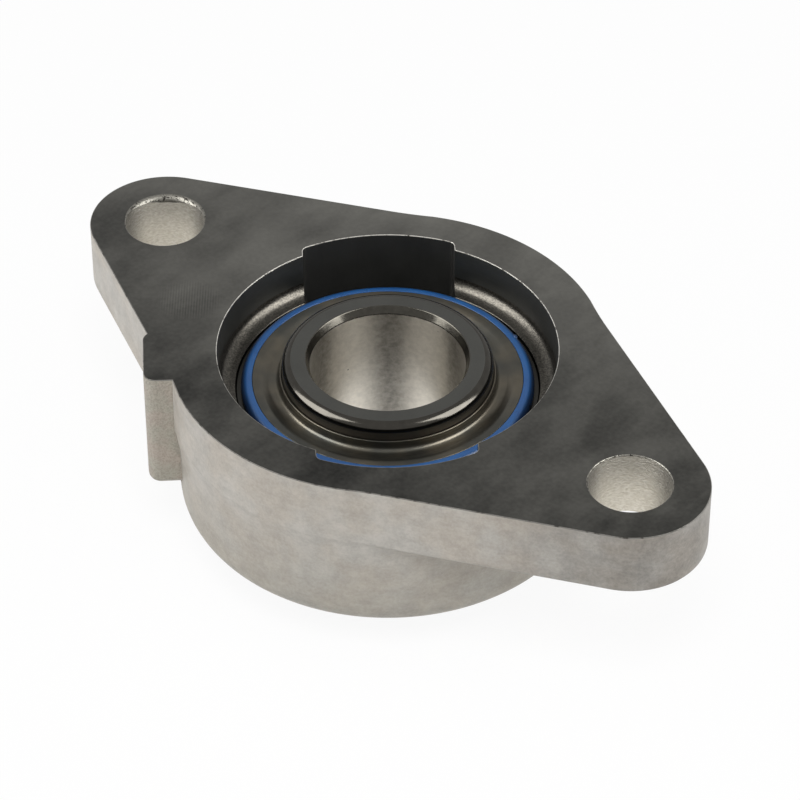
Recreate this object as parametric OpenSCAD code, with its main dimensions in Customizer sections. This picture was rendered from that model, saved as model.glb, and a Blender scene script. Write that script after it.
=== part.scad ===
// Two-bolt flange bearing: a cast stainless housing that holds a sealed ball-bearing insert
// in a spherical seat, so that the insert can line itself up with its shaft.
// Frame, in millimetres: the origin is where the shaft axis meets the mounting face,
// +Z points out of that face, and +X runs along the line through the two bolt holes.

/* [Flange] */
// Distance between the centres of the two bolt holes
bolt_spacing = 99; // [92:1:120]
// Diameter of a bolt hole
bolt_hole_d = 13.8; // [9:0.1:16]
// Diameter of the rounded ear round a bolt hole
ear_d = 24.9; // [20:0.1:30]
// Thickness of the flange
flange_t = 11.4; // [8:0.1:15]
// Diameter of the flange's round middle
flange_d = 69.8; // [69.4:0.1:78]
// Diameter of the circle that the straight flanks would just touch
flank_d = 69; // [62:0.1:69.2]

/* [Housing body] */
// Diameter of the round body where it leaves the flange
body_d = 68.7; // [66:0.1:69.2]
// Depth of the housing, from the mounting face to its front face
body_depth = 30.1; // [28:0.1:36]
// Draft of the body's cast wall, in degrees
body_draft = 1.5; // [0.5:0.1:4]
// Rounding of the body's front edge
body_round = 5; // [1:0.1:6]
// Cast fillet between the body and the front of the flange
cast_fillet = 2; // [0.5:0.1:4]
// Chamfer at the mouth of the front opening
front_chamfer = 0.8; // [0.2:0.1:1.5]

/* [Side lug] */
// Reach of the lug's outer face from the shaft axis
lug_reach = 39; // [36:0.1:44]
// Width of the lug
lug_w = 12.3; // [8:0.1:16]
// Depth of the lug, from the mounting face
lug_depth = 22; // [14:0.1:26]
// Rounding of the lug's outer corners
lug_round = 2; // [0.5:0.1:3]
// Direction of the lug, in degrees from +X
lug_angle = -135; // [-150:1:-120]

/* [Recess and seat] */
// Depth of the insert's centre below the mounting face
insert_depth = 16.5; // [15.5:0.1:19]
// Half the width of the spherical seat
seat_half_w = 9; // [7:0.1:9.5]
// How far the recess wall stands outside the insert's sphere
recess_step = 1.25; // [0.8:0.05:2.5]
// Fillet at the foot of the recess wall
recess_fillet = 1.3; // [0.5:0.1:2.4]
// Width of a loading slot
slot_w = 25; // [20:0.1:28]
// How far the loading slots reach outside the recess wall
slot_step = 1.8; // [0.5:0.1:2.5]
// Direction of the first loading slot, in degrees from +X
slot_angle = 135; // [90:1:180]

/* [Insert rings] */
// Diameter of the shaft bore
bore_d = 25; // [20:0.1:27]
// Wall of the inner ring
ring_wall = 4.5; // [4:0.1:5]
// Length of the inner ring behind the insert's centre, towards the mounting face
ring_back = 14.3; // [12.5:0.1:16]
// Length of the inner ring in front of the insert's centre
ring_front = 19.8; // [18:0.1:24]
// Chamfer at each end of the bore
bore_chamfer = 0.7; // [0.3:0.1:1.2]
// Chamfer at each outer edge of the inner ring
ring_chamfer = 0.8; // [0.2:0.1:1.2]
// Space between the two rings, where the balls and the cage run
race_room = 5; // [4.6:0.1:5.5]
// Width of the outer ring
outer_w = 17; // [15:0.1:18]
// Wall from the outer ring's bore to its sphere
outer_wall = 4; // [3.8:0.1:4.5]
// Chamfer at each side of the outer ring
outer_chamfer = 0.3; // [0.1:0.1:0.6]

/* [Balls and cage] */
// Diameter of a ball
ball_d = 7.94; // [7:0.01:8.6]
// Thickness of the cage's sheet steel
cage_t = 0.7; // [0.4:0.05:1]
// Clearance between a ball and its pocket
pocket_gap = 0.12; // [0.05:0.01:0.3]
// Space from the cage's edges to the rings on either side of it
cage_margin = 0.8; // [0.4:0.1:1.5]
// Diameter of a cage rivet
rivet_d = 1.4; // [1:0.1:1.8]
// Diameter of a rivet's head
rivet_head_d = 2.4; // [2:0.1:2.8]
// Height of a rivet's head
rivet_head_h = 0.5; // [0.3:0.05:0.8]

/* [Seals and flingers] */
// Thickness of the flinger's sheet steel
flinger_t = 0.45; // [0.3:0.05:0.6]
// Height of the flinger's outer face above the outer ring's side
flinger_lift = 1.9; // [1.6:0.1:2.4]
// Depth of the dished band round the flinger's collar
flinger_dip = 0.6; // [0.3:0.05:0.8]
// Width of the dished band
dip_w = 1.6; // [1.2:0.1:1.8]
// Width of the slope from the dished band up to the outer face
slope_w = 0.7; // [0.4:0.1:1]
// Height of the flinger's collar above the dished band
collar_h = 1.7; // [0.5:0.1:1.9]
// Wall of the flinger's collar
collar_t = 0.4; // [0.3:0.05:0.7]
// Width of the rubber rim round the flinger
rim_w = 1.8; // [1.4:0.1:2]
// Thickness of the rubber rim where it is bonded to the flinger
rim_t = 0.85; // [0.6:0.05:1.1]
// Rounding of the rubber rim's outer edge
rim_round = 0.8; // [0.2:0.1:1]
// Width of the rubber rim's lip, where it faces the outer ring
rim_lip_w = 0.6; // [0.3:0.1:0.9]
// Thickness of the seal's steel carrier
carrier_t = 0.5; // [0.3:0.05:0.8]
// Depth of the seal's groove in the wall of the outer ring
seal_groove = 0.8; // [0.4:0.05:1.2]
// How deep the seal's outer face lies below the outer ring's side
seal_sink = 0.9; // [0.6:0.1:1.4]
// Width of the seal's rubber lip, from the inner ring to the carrier
seal_lip_w = 1.6; // [1:0.1:2]

/* [Set screws] */
// Thread diameter of a set screw
screw_d = 6; // [4:0.5:6]
// Thread pitch of a set screw
screw_pitch = 1; // [0.75:0.25:1]
// How far a set screw stands out of the inner ring
screw_proud = 0.7; // [0:0.1:1]
// Width across the flats of a set screw's socket
socket_w = 3; // [2:0.5:3]
// Depth of a set screw's socket
socket_depth = 2.2; // [1.5:0.1:2.6]
// Angle between the two set screws
screw_angle = 120; // [60:1:135]
// How far a set screw's point stands back from the bore
screw_back = 0.2; // [0.1:0.1:0.6]

/* [Fits] */
// Gap between the outer ring's sphere and its seat
seat_gap = 0.08; // [0.03:0.01:0.1]
// Running gap between the balls and their races
race_gap = 0.06; // [0.03:0.01:0.1]
// Gap between curved faces that are pressed or bonded together
press_gap = 0.02; // [0.01:0.01:0.04]
// Running gap of the seal's lip on the inner ring
lip_gap = 0.1; // [0.05:0.01:0.2]
// Space between the rubber rim and the outer ring's side
rim_gap = 0.25; // [0.15:0.05:0.4]
// Space between the rubber rim and the sphere that the insert turns in
rim_room = 0.25; // [0.15:0.05:0.5]
// Gap between a set screw and its tapped hole
thread_gap = 0.05; // [0.02:0.01:0.1]

/* [Hidden] */
$fn = 96;

// Overshoot of every cut beyond the face that it leaves through
over = 1;
// The flanks run this far inside the ears' tangent, so each ear keeps a true arc
flank_inset = 0.03;
// Steps in a rounded edge
arc_steps = 8;
ball_count = 9;

ear_r = ear_d / 2;
flank_r = flank_d / 2;

bore_r = bore_d / 2;
ring_r = bore_r + ring_wall;
shoulder_r = ring_r + race_room;
sphere_r = shoulder_r + outer_wall;
outer_half_w = outer_w / 2;
pitch_r = (ring_r + shoulder_r) / 2;
race_r = ball_d / 2 + race_gap;
ball_step = 360 / ball_count;

recess_depth = insert_depth - seat_half_w;
seat_r = sphere_r + seat_gap;
front_opening_r = sqrt(pow(seat_r, 2) - pow(seat_half_w, 2));
recess_r = sphere_r + recess_step;
slot_r = recess_r + slot_step;

pocket_r = ball_d / 2 + pocket_gap;
cage_inner_r = ring_r + cage_margin;
cage_outer_r = shoulder_r - cage_margin;

flinger_out = outer_half_w + flinger_lift;
flinger_low = flinger_out - flinger_dip;
rim_r = sqrt(pow(sphere_r, 2) - pow(flinger_out, 2)) - rim_room;
flinger_r = rim_r - rim_w;
collar_r = ring_r + collar_t;
dip_r = collar_r + dip_w;
slope_r = dip_r + slope_w;

seal_out = outer_half_w - seal_sink;
seal_groove_r = shoulder_r + seal_groove;
seal_mouth_r = shoulder_r + seal_groove / 2;
carrier_r = seal_groove_r - press_gap;
carrier_bore_r = ring_r + seal_lip_w;

screw_z = (flinger_out + ring_front) / 2;
screw_l = ring_wall + screw_proud - screw_back;
thread_depth = 0.6 * screw_pitch;

// Points along an arc, from one angle to another
function arc(centre, r, from, to) =
    [for (i = [0 : arc_steps])
        let (a = from + (to - from) * i / arc_steps)
        centre + r * [cos(a), sin(a)]];

// Puts a piece of the insert in its seat; the front pieces mirror the back ones
module in_insert(front = false) {
    translate([0, 0, -insert_depth])
        mirror([0, 0, front ? 1 : 0])
            children();
}

// Repeats a piece round the circle of balls, shifted by a share of the ball spacing
module round_cage(shift = 0) {
    for (i = [0 : ball_count - 1])
        rotate((i + shift) * ball_step)
            translate([pitch_r, 0, 0])
                children();
}

// Points of the flange between its flanks
function flank_points() =
    let (
        tip_r = ear_r - flank_inset,
        lean = acos((flank_r - tip_r) / (bolt_spacing / 2)),
        along = [cos(lean), sin(lean)],
        ear = [bolt_spacing / 2, 0],
        upper = [flank_r * along, ear + tip_r * along],
        lower = [for (i = [1, 0]) [upper[i].x, -upper[i].y]],
        right = concat(upper, lower)
    )
    concat(right, [for (p = right) -p]);

module flange_outline() {
    polygon(flank_points());
    circle(d = flange_d);
    for (side = [-1, 1])
        translate([side * bolt_spacing / 2, 0])
            circle(r = ear_r);
}

// The round body, with its draft and rounded front edge, sunk half way into the flange
module housing_body() {
    wall_top_z = -flange_t / 2;
    top_r = body_d / 2;
    low_r = top_r - (body_depth - flange_t) * tan(body_draft);
    rotate_extrude()
        polygon(concat(
            [[0, -body_depth], [0, wall_top_z], [top_r, wall_top_z], [top_r, -flange_t]],
            arc([low_r - body_round, -body_depth + body_round], body_round, -body_draft, -90)));
}

// The cast fillet under the flange, kept inside the flange's outline
module flange_fillet() {
    foot_r = body_d / 2;
    intersection() {
        translate([0, 0, -flange_t - cast_fillet])
            linear_extrude(2 * cast_fillet)
                flange_outline();
        rotate_extrude()
            polygon(concat(
                [[foot_r - cast_fillet, -flange_t - cast_fillet],
                    [foot_r - cast_fillet, -flange_t + cast_fillet / 2],
                    [foot_r + cast_fillet, -flange_t + cast_fillet / 2]],
                arc([foot_r + cast_fillet, -flange_t - cast_fillet], cast_fillet, 90, 180)));
    }
}

module lug() {
    corner = [lug_reach - lug_round, lug_w / 2 - lug_round];
    translate([0, 0, -lug_depth])
        linear_extrude(lug_depth)
            rotate(lug_angle)
                polygon(concat(
                    [[0, -lug_w / 2]],
                    arc([corner.x, -corner.y], lug_round, -90, 0),
                    arc(corner, lug_round, 0, 90),
                    [[0, lug_w / 2]]));
}

module bolt_holes() {
    for (side = [-1, 1])
        translate([side * bolt_spacing / 2, 0, -flange_t - over])
            cylinder(d = bolt_hole_d, h = flange_t + 2 * over);
}

module recess() {
    rotate_extrude()
        polygon(concat(
            [[0, over], [recess_r, over]],
            arc([recess_r - recess_fillet, recess_fillet - recess_depth],
                recess_fillet, 0, -90),
            [[0, -recess_depth]]));
}

// Both loading slots in one cut: the ring is turned on edge, dropped in and swung level
module loading_slots() {
    rotate(slot_angle)
        intersection() {
            translate([0, 0, -insert_depth])
                cylinder(r = slot_r, h = insert_depth + over);
            translate([-slot_r - over, -slot_w / 2, -insert_depth - over])
                cube([2 * (slot_r + over), slot_w, insert_depth + 3 * over]);
        }
}

module front_opening() {
    rotate_extrude()
        polygon([[0, -insert_depth], [front_opening_r, -insert_depth],
            [front_opening_r, -body_depth + front_chamfer],
            [front_opening_r + front_chamfer, -body_depth],
            [front_opening_r + front_chamfer, -body_depth - over], [0, -body_depth - over]]);
}

module housing() {
    color([0.66, 0.64, 0.61])
        difference() {
            union() {
                translate([0, 0, -flange_t])
                    linear_extrude(flange_t)
                        flange_outline();
                housing_body();
                flange_fillet();
                lug();
            }
            bolt_holes();
            recess();
            loading_slots();
            front_opening();
            translate([0, 0, -insert_depth])
                sphere(r = seat_r);
        }
}

// The ring of space that the balls run in
module race() {
    rotate_extrude()
        translate([pitch_r, 0])
            circle(r = race_r);
}

module outer_ring_section() {
    side_r = sqrt(pow(sphere_r, 2) - pow(outer_half_w, 2));
    groove_low = seal_out - carrier_t;
    difference() {
        intersection() {
            circle(r = sphere_r);
            translate([shoulder_r, -outer_half_w])
                square([outer_wall, outer_w]);
        }
        for (side = [-1, 1]) {
            polygon([[shoulder_r - over, side * groove_low],
                [seal_groove_r, side * groove_low],
                [seal_groove_r, side * seal_out],
                [seal_mouth_r, side * seal_out],
                [seal_mouth_r, side * (outer_half_w + over)],
                [shoulder_r - over, side * (outer_half_w + over)]]);
            polygon([[side_r - outer_chamfer, side * outer_half_w],
                [side_r + over, side * (outer_half_w - outer_chamfer - over)],
                [side_r + over, side * (outer_half_w + over)],
                [side_r - outer_chamfer, side * (outer_half_w + over)]]);
        }
    }
}

module outer_ring() {
    color([0.62, 0.61, 0.58])
        in_insert()
            difference() {
                rotate_extrude()
                    outer_ring_section();
                race();
            }
}

module inner_ring_blank() {
    rotate_extrude()
        polygon([[bore_r, bore_chamfer - ring_front],
            [bore_r + bore_chamfer, -ring_front],
            [ring_r - ring_chamfer, -ring_front],
            [ring_r, ring_chamfer - ring_front],
            [ring_r, ring_back - ring_chamfer],
            [ring_r - ring_chamfer, ring_back],
            [bore_r + bore_chamfer, ring_back],
            [bore_r, ring_back - bore_chamfer]]);
}

// Turns a set screw's own frame, with its point at the origin and +Z outwards, into place
module at_screw(index) {
    rotate(-90 + (index - 0.5) * screw_angle)
        translate([bore_r + screw_back, 0, -screw_z])
            rotate([0, 90, 0])
                children();
}

module inner_ring() {
    color([0.55, 0.54, 0.52])
        in_insert()
            difference() {
                inner_ring_blank();
                race();
                for (index = [0, 1])
                    at_screw(index)
                        translate([0, 0, -screw_back - bore_chamfer])
                            cylinder(d = screw_d + 2 * thread_gap,
                                h = ring_r - bore_r + 2 * bore_chamfer);
            }
}

module seal_carrier(front) {
    color([0.7, 0.7, 0.68])
        in_insert(front)
            translate([0, 0, seal_out - carrier_t])
                difference() {
                    cylinder(r = carrier_r, h = carrier_t);
                    translate([0, 0, -over])
                        cylinder(r = carrier_bore_r, h = carrier_t + 2 * over);
                }
}

// The rubber lip bonded to the carrier's inner edge, thinning towards the inner ring
module seal_lip(front) {
    lip_r = carrier_bore_r - press_gap;
    tip_r = ring_r + lip_gap;
    color([0.13, 0.13, 0.14])
        in_insert(front)
            rotate_extrude()
                polygon([[lip_r, seal_out - carrier_t],
                    [lip_r, seal_out],
                    [(lip_r + tip_r) / 2, seal_out],
                    [tip_r, seal_out + carrier_t / 2],
                    [tip_r, seal_out],
                    [(lip_r + tip_r) / 2, seal_out - carrier_t]]);
}

// The dished sheet-steel disc pressed on the inner ring
module flinger(front) {
    hub_r = ring_r + press_gap;
    color([0.6, 0.58, 0.5])
        in_insert(front)
            rotate_extrude()
                polygon([[hub_r, flinger_low - flinger_t],
                    [dip_r, flinger_low - flinger_t],
                    [slope_r, flinger_out - flinger_t],
                    [flinger_r, flinger_out - flinger_t],
                    [flinger_r, flinger_out],
                    [slope_r, flinger_out],
                    [dip_r, flinger_low],
                    [collar_r, flinger_low],
                    [collar_r, flinger_low + collar_h],
                    [hub_r, flinger_low + collar_h]]);
}

// The rubber rim bonded round the flinger, with a lip that faces the outer ring's side
module flinger_rim(front) {
    bond_r = flinger_r + press_gap;
    root_z = flinger_out - rim_t;
    lip_z = outer_half_w + rim_gap;
    color([0.1, 0.35, 0.7])
        in_insert(front)
            rotate_extrude()
                polygon(concat(
                    [[bond_r, root_z], [bond_r, flinger_out]],
                    arc([rim_r - rim_round, flinger_out - rim_round], rim_round, 90, 0),
                    [[rim_r, lip_z], [rim_r - rim_lip_w, lip_z],
                        [rim_r - 2 * rim_lip_w, root_z]]));
}

// The half of the ribbon cage on the back side: domed pockets joined by flat bridges
module cage_half(front) {
    color([0.68, 0.68, 0.66])
        in_insert(front)
            difference() {
                intersection() {
                    union() {
                        cylinder(r = cage_outer_r + over, h = cage_t);
                        round_cage()
                            sphere(r = pocket_r + cage_t);
                    }
                    difference() {
                        cylinder(r = cage_outer_r, h = ball_d);
                        translate([0, 0, -over])
                            cylinder(r = cage_inner_r, h = ball_d + 2 * over);
                    }
                }
                round_cage()
                    sphere(r = pocket_r);
                round_cage(0.5)
                    translate([0, 0, -over])
                        cylinder(d = rivet_d + 2 * press_gap, h = cage_t + 2 * over);
            }
}

module cage_rivets() {
    color([0.75, 0.75, 0.73])
        in_insert()
            round_cage(0.5) {
                translate([0, 0, -cage_t - rivet_head_h / 2])
                    cylinder(d = rivet_d, h = 2 * cage_t + rivet_head_h);
                for (z = [-cage_t - rivet_head_h, cage_t])
                    translate([0, 0, z])
                        cylinder(d = rivet_head_d, h = rivet_head_h);
            }
}

module ball(index) {
    color([0.8, 0.8, 0.8])
        in_insert()
            rotate((index - 1) * ball_step)
                translate([pitch_r, 0, 0])
                    sphere(d = ball_d);
}

// A socket set screw with a cup point; its thread is a stack of rings of the same pitch
module set_screw(index) {
    crest_r = screw_d / 2;
    root_r = crest_r - thread_depth;
    turns = floor(screw_l / screw_pitch);
    color([0.3, 0.3, 0.3])
        in_insert()
            at_screw(index)
                difference() {
                    rotate_extrude()
                        polygon(concat(
                            [[0, 0], [root_r, 0]],
                            [for (i = [0 : turns - 1]) each [
                                [root_r, i * screw_pitch],
                                [crest_r, (i + 0.5) * screw_pitch]]],
                            [[root_r, turns * screw_pitch], [root_r, screw_l], [0, screw_l]]));
                    translate([0, 0, screw_l - socket_depth])
                        cylinder(d = socket_w / cos(30), h = socket_depth + over, $fn = 6);
                    translate([0, 0, -over])
                        cylinder(r1 = root_r / 2 + over, r2 = 0, h = root_r / 2 + over);
                }
}

housing();
outer_ring();
inner_ring();
seal_carrier(false);  // back_seal_carrier
seal_lip(false);  // back_seal_lip
seal_carrier(true);  // front_seal_carrier
seal_lip(true);  // front_seal_lip
flinger(false);  // back_flinger
flinger_rim(false);  // back_flinger_rim
flinger(true);  // front_flinger
flinger_rim(true);  // front_flinger_rim
cage_half(false);  // cage_back_half
cage_half(true);  // cage_front_half
cage_rivets();
for (i = [1 : ball_count])
    ball(i);
set_screw(0);  // set_screw_1
set_screw(1);  // set_screw_2
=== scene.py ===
"""The looks of a two-bolt flange bearing: a cast housing with a sealed ball-bearing insert.

Shapes are worked out in millimetres, in the part's own frame, and turned into metres when a piece
is finished. The shaft axis is Z, the mounting face is at z = 0 and the bolt holes lie along X.
"""

import math

import bmesh
import bpy
from mathutils import Matrix, Vector


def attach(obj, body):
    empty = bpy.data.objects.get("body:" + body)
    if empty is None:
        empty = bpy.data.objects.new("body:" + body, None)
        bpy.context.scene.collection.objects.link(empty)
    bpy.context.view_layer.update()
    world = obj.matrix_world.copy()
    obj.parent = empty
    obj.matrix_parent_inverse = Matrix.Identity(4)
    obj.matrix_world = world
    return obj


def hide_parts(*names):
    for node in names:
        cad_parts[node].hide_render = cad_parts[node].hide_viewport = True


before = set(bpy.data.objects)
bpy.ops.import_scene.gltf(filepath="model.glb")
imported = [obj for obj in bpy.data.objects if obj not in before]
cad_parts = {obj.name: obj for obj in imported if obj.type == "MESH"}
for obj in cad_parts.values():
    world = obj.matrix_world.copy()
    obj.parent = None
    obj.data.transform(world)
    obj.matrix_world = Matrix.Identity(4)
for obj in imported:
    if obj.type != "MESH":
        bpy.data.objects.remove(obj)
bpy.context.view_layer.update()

MM = 0.001
TURN_STEPS = 180
HOLE_STEPS = 96
LIP_STEPS = 90
SCREW_HOLE_STEPS = 48
# How far a cutter passes the face that it leaves through, and a blank the cut that trims it
OVER = 1.0
# How far a solid is sunk into the one that it touches
HAIR = 0.02
# How close a face counts as lying on a surface
CLOSE = 0.05
NEAR = 0.1
# How close two places, two planes and two heights count as one
SAME_PLACE = 1e-4
SAME_PLANE = 1e-5
SAME_LEVEL = 1e-3
# From this angle between two faces their edge is a sharp one
SHARP = math.radians(30)
RIM_SHARP = math.radians(50)
# Weights of X, Y and Z when the parts of a mesh are sorted, so that no two come out alike
SORTING = Vector((1.0, 91.7, 8461.3))

# Housing sizes, in millimetres
BOLT_SPACING = 99.0
BOLT_HOLE_R = 6.5
BOLT_HOLE_LOW_R = 6.3
HOLE_LIP = 0.2
HOLE_LOW_LIP = 0.1
WORN_LIP_R = 6.7
WORN_LIP_DEPTH = 1.0
WORN_LIP_SHIFT = 0.8
WORN_LIP_ANGLE = math.radians(131)
EAR_R = 12.45
FLANK_R = 34.5
FLANGE_R = 34.9
FLANGE_T = 11.4
FLANGE_ROUND = 0.9
FLANGE_BLEND = 3.5
EDGE_BREAK = 0.13
BODY_R = 34.35
BODY_LOW_R = 33.86
BODY_DEPTH = 30.1
BODY_ROUND = 5.0
MIDDLE_SLOPE = 3.5
MIDDLE_SLOPE_SUNK = 0.1225
CAST_FILLET = 2.0
LUG_REACH = 39.0
LUG_HALF_W = 6.15
LUG_DEPTH = 22.0
LUG_ROUND = 2.0
LUG_FOOT_ROUND = 1.5
LUG_FILLET = 0.3
LUG_FOOT_FILLET = 1.3
LUG_ANGLE = math.radians(-135)
RECESS_R = 27.25
RECESS_DEPTH = 7.5
RECESS_FILLET = 1.9
SEAT_R = 26.08
SEAT_HALF_W = 9.0
SEAT_BREAK = 0.08
OPENING_R = math.sqrt(SEAT_R**2 - SEAT_HALF_W**2)
FRONT_CHAMFER = 0.8
SLOT_R = 29.05
SLOT_HALF_W = 12.5
SLOT_ROUND = 1.2
SLOT_ANGLE = math.radians(135)

# Insert sizes, in millimetres; a height counts from the insert's centre, and one whose name ends
# in _Z from the mounting face
INSERT_Z = -16.5
BORE_R = 12.5
RING_R = 17.0
RING_BACK = 14.3
RING_FRONT = 19.8
RING_ROUND = 1.4
BORE_MOUTH = 0.65
BORE_LEAD = 1.3
BORE_LEAD_ROUND = 0.9
BORE_MOUTH_ROUND = 0.2
FRONT_LEAD = 0.7
FRONT_LEAD_ROUND = 0.15
PITCH_R = 19.5
RACE_R = 4.03
SCREW_HOLE_R = 3.05
SCREW_HOLE_SINK = 0.4
SCREW_Z = -31.6
SCREW_ANGLES = (math.radians(-150), math.radians(-30))
COLLAR_R = 17.4
COLLAR_TOP = 11.5
COLLAR_ROUND = 0.12
HUB_R = 17.02
HUB_ROUND = 0.3
HUB_TOP_ROUND = 0.2
DISH_R = 18.9
DISH_OUT = 9.8
DISH_ROUND = 0.85
SLOPE_R = 20.5
SLOPE_BEND = 2.4
SLOPE_BEND_INSIDE = 2.0
DISC_R = 21.78
DISC_OUT = 10.4
DISC_T = 0.45
DISC_ROUND = 0.1
RIM_BOND_R = 21.8
RIM_R = 23.58
RIM_LOW = 8.75
RIM_ROOT = 9.55
RIM_LIP_W = 0.6
RIM_BOND_ROUND = 0.08
RIM_DOME = 1.15
RIM_LIP_ROUND = 0.15
RIM_ROOT_ROUND = 0.2
NUB_R = 0.4
NUB_SHAPE = (0.9, 1.3, 0.6, 1)
NUB_INSET = 0.45
NUB_SUNK = 0.25
NUB_ANGLE = math.radians(67.7)

# Camera, found by fitting the photograph's edges
VIEW_AZIMUTH = math.radians(41.443)
VIEW_ELEVATION = math.radians(40.359)
VIEW_CENTRE = Vector((10.178, -8.557, 0.0)) * MM
VIEW_DISTANCE = 569.78 * MM
SENSOR_W = 36.0
LENS = 163.628

# Studio, in metres; the floor and the world show white, and the world's fill lights the object
LAMP_DISTANCE = 0.9
FLOOR_SIZE = 3.0
FLOOR_GLOW = 0.93
WORLD_FILL = 0.34
WHITE = (1, 1, 1, 1)
PAPER = (0.9, 0.9, 0.9, 1)

# Level directions on the part: roughly towards the loading slot at the back, and across it
TO_BACK_SLOT = (-0.66, 0.75, 0)
ACROSS_SLOT = (0.75, 0.66, 0)


# Shapes


def arc(centre, radius, start, end, steps=16):
    """Points along an arc, with the angles in radians."""
    turns = [start + (end - start) * step / max(steps, 1) for step in range(steps + 1)]
    return [Vector(centre) + radius * Vector((math.cos(a), math.sin(a))) for a in turns]


def rounded(corners, steps=6):
    """Points of a closed outline whose corners (x, y, radius) are rounded."""
    points = []
    places = [Vector(corner[:2]) for corner in corners]
    for index, place in enumerate(places):
        radius = corners[index][2]
        if not radius:
            points.append(place)
            continue
        before = (places[index - 1] - place).normalized()
        after = (places[(index + 1) % len(places)] - place).normalized()
        half = before.angle(after) / 2
        centre = place + (before + after).normalized() * radius / math.sin(half)
        start = place + before * radius / math.tan(half) - centre
        end = place + after * radius / math.tan(half) - centre
        spread = [start.slerp(end, step / steps) for step in range(steps + 1)]
        points += [centre + radius * way for way in spread]
    return points


def blended(start, corner, end, steps=6):
    """Points of a soft bend from one place to another round a corner."""
    points = []
    for step in range(steps + 1):
        t = step / steps
        points.append(start.lerp(corner, t).lerp(corner.lerp(end, t), t))
    return points


def closed_loop(shape, places):
    """Adds a closed loop of edges to a bmesh and returns its vertices and edges."""
    verts = [shape.verts.new(place) for place in places]
    edges = [shape.edges.new((verts[i - 1], vert)) for i, vert in enumerate(verts)]
    return verts, edges


def turned(profile, steps=TURN_STEPS):
    """A solid turned about Z from an outline of (radius, height); a core starts at the axis."""
    shape = bmesh.new()
    verts, edges = closed_loop(shape, [(radius, 0, height) for radius, height in profile])
    if profile[0][0] == profile[-1][0] == 0:
        shape.edges.remove(edges.pop(0))
    bmesh.ops.spin(
        shape,
        geom=verts + edges,
        cent=(0, 0, 0),
        axis=(0, 0, 1),
        angle=math.tau,
        steps=steps,
        use_merge=True,
    )
    return closed_shell(shape)


def extruded(outline, low, high):
    """An upright solid on a closed outline."""
    shape = bmesh.new()
    verts, _ = closed_loop(shape, [(x, y, low) for x, y in outline])
    base = shape.faces.new(verts)
    grown = bmesh.ops.extrude_face_region(shape, geom=[base])["geom"]
    top = [item for item in grown if isinstance(item, bmesh.types.BMVert)]
    bmesh.ops.translate(shape, verts=top, vec=(0, 0, high - low))
    return closed_shell(shape)


def closed_shell(shape):
    """Closes seams and poles, turns the faces outwards, and puts all in one lasting order."""
    bmesh.ops.remove_doubles(shape, verts=shape.verts, dist=SAME_PLACE)
    bmesh.ops.dissolve_degenerate(shape, edges=shape.edges, dist=SAME_PLACE)
    bmesh.ops.recalc_face_normals(shape, faces=shape.faces)
    shape.verts.sort(key=lambda vert: vert.co.dot(SORTING))
    shape.edges.sort(key=lambda edge: (edge.verts[0].co + edge.verts[1].co).dot(SORTING))
    shape.faces.sort(key=lambda face: face.calc_center_median().dot(SORTING))
    return shape


def eased(shape, edges, width, steps):
    """Rounds the edges of a solid."""
    bmesh.ops.bevel(
        shape,
        geom=edges,
        offset=width,
        segments=steps,
        profile=0.5,
        affect="EDGES",
        material=-1,
        clamp_overlap=True,
    )
    return shape


def edges_at(shape, height):
    """The edges of a solid that lie at one height."""
    return [e for e in shape.edges if all(abs(v.co.z - height) < SAME_LEVEL for v in e.verts)]


def joined(shape, tool, operation):
    """Adds, cuts or intersects two solids, and frees both."""
    workpieces = []
    for solid in (shape, tool):
        mesh = bpy.data.meshes.new("workpiece")
        solid.to_mesh(mesh)
        solid.free()
        workpieces.append(bpy.data.objects.new("workpiece", mesh))
        bpy.context.scene.collection.objects.link(workpieces[-1])
    cut = workpieces[0].modifiers.new("cut", "BOOLEAN")
    cut.object = workpieces[1]
    cut.operation = operation
    cut.solver = "EXACT"
    result = bmesh.new()
    result.from_object(workpieces[0], bpy.context.evaluated_depsgraph_get())
    for workpiece in workpieces:
        bpy.data.meshes.remove(workpiece.data)
    return closed_shell(result)


def finished(shape, name, body, nodes, finishes, choose=None, crease=SHARP):
    """Turns a solid into a piece in metres that rides on a body and stands for CAD nodes.

    Where it has several finishes, choose names the one that a face takes.
    """
    bmesh.ops.scale(shape, vec=(MM, MM, MM), verts=shape.verts)
    for face in shape.faces:
        face.smooth = True
    mesh = bpy.data.meshes.new(name)
    shape.to_mesh(mesh)
    shape.free()
    mesh.set_sharp_from_angle(angle=crease)
    for finish in finishes:
        mesh.materials.append(finish)
    if choose:
        order = [finish.name for finish in finishes]
        for polygon in mesh.polygons:
            chosen = choose(polygon.center / MM, polygon.normal)
            polygon.material_index = order.index(chosen)
    piece = bpy.data.objects.new(name, mesh)
    bpy.context.scene.collection.objects.link(piece)
    normals = piece.modifiers.new("flat_faces", "WEIGHTED_NORMAL")
    normals.keep_sharp = True
    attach(piece, body)
    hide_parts(*nodes)
    return piece


# Housing


def flange_outline(inset=0.0):
    """The flange seen from above: two ears and a round middle, blended into straight flanks."""
    ear_r, middle_r = EAR_R - inset, FLANGE_R - inset
    lean = math.acos((FLANK_R - EAR_R) / (BOLT_SPACING / 2))
    middle = lean - math.acos((FLANK_R - inset) / middle_r)
    blend = FLANGE_BLEND / middle_r
    ear = arc((BOLT_SPACING / 2, 0), ear_r, 0, lean, 24)
    centre_arc = arc((0, 0), middle_r, middle + blend, math.pi / 2, 20)
    (meeting,) = arc((0, 0), middle_r, middle, middle, 0)
    flank_end = meeting + (ear[-1] - meeting).normalized() * FLANGE_BLEND
    quarter = [*ear, *blended(flank_end, meeting, centre_arc[0]), *centre_arc[1:]]
    half = quarter + [Vector((-x, y)) for x, y in reversed(quarter[:-1])]
    return half + [-place for place in half[1:-1]]


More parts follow.
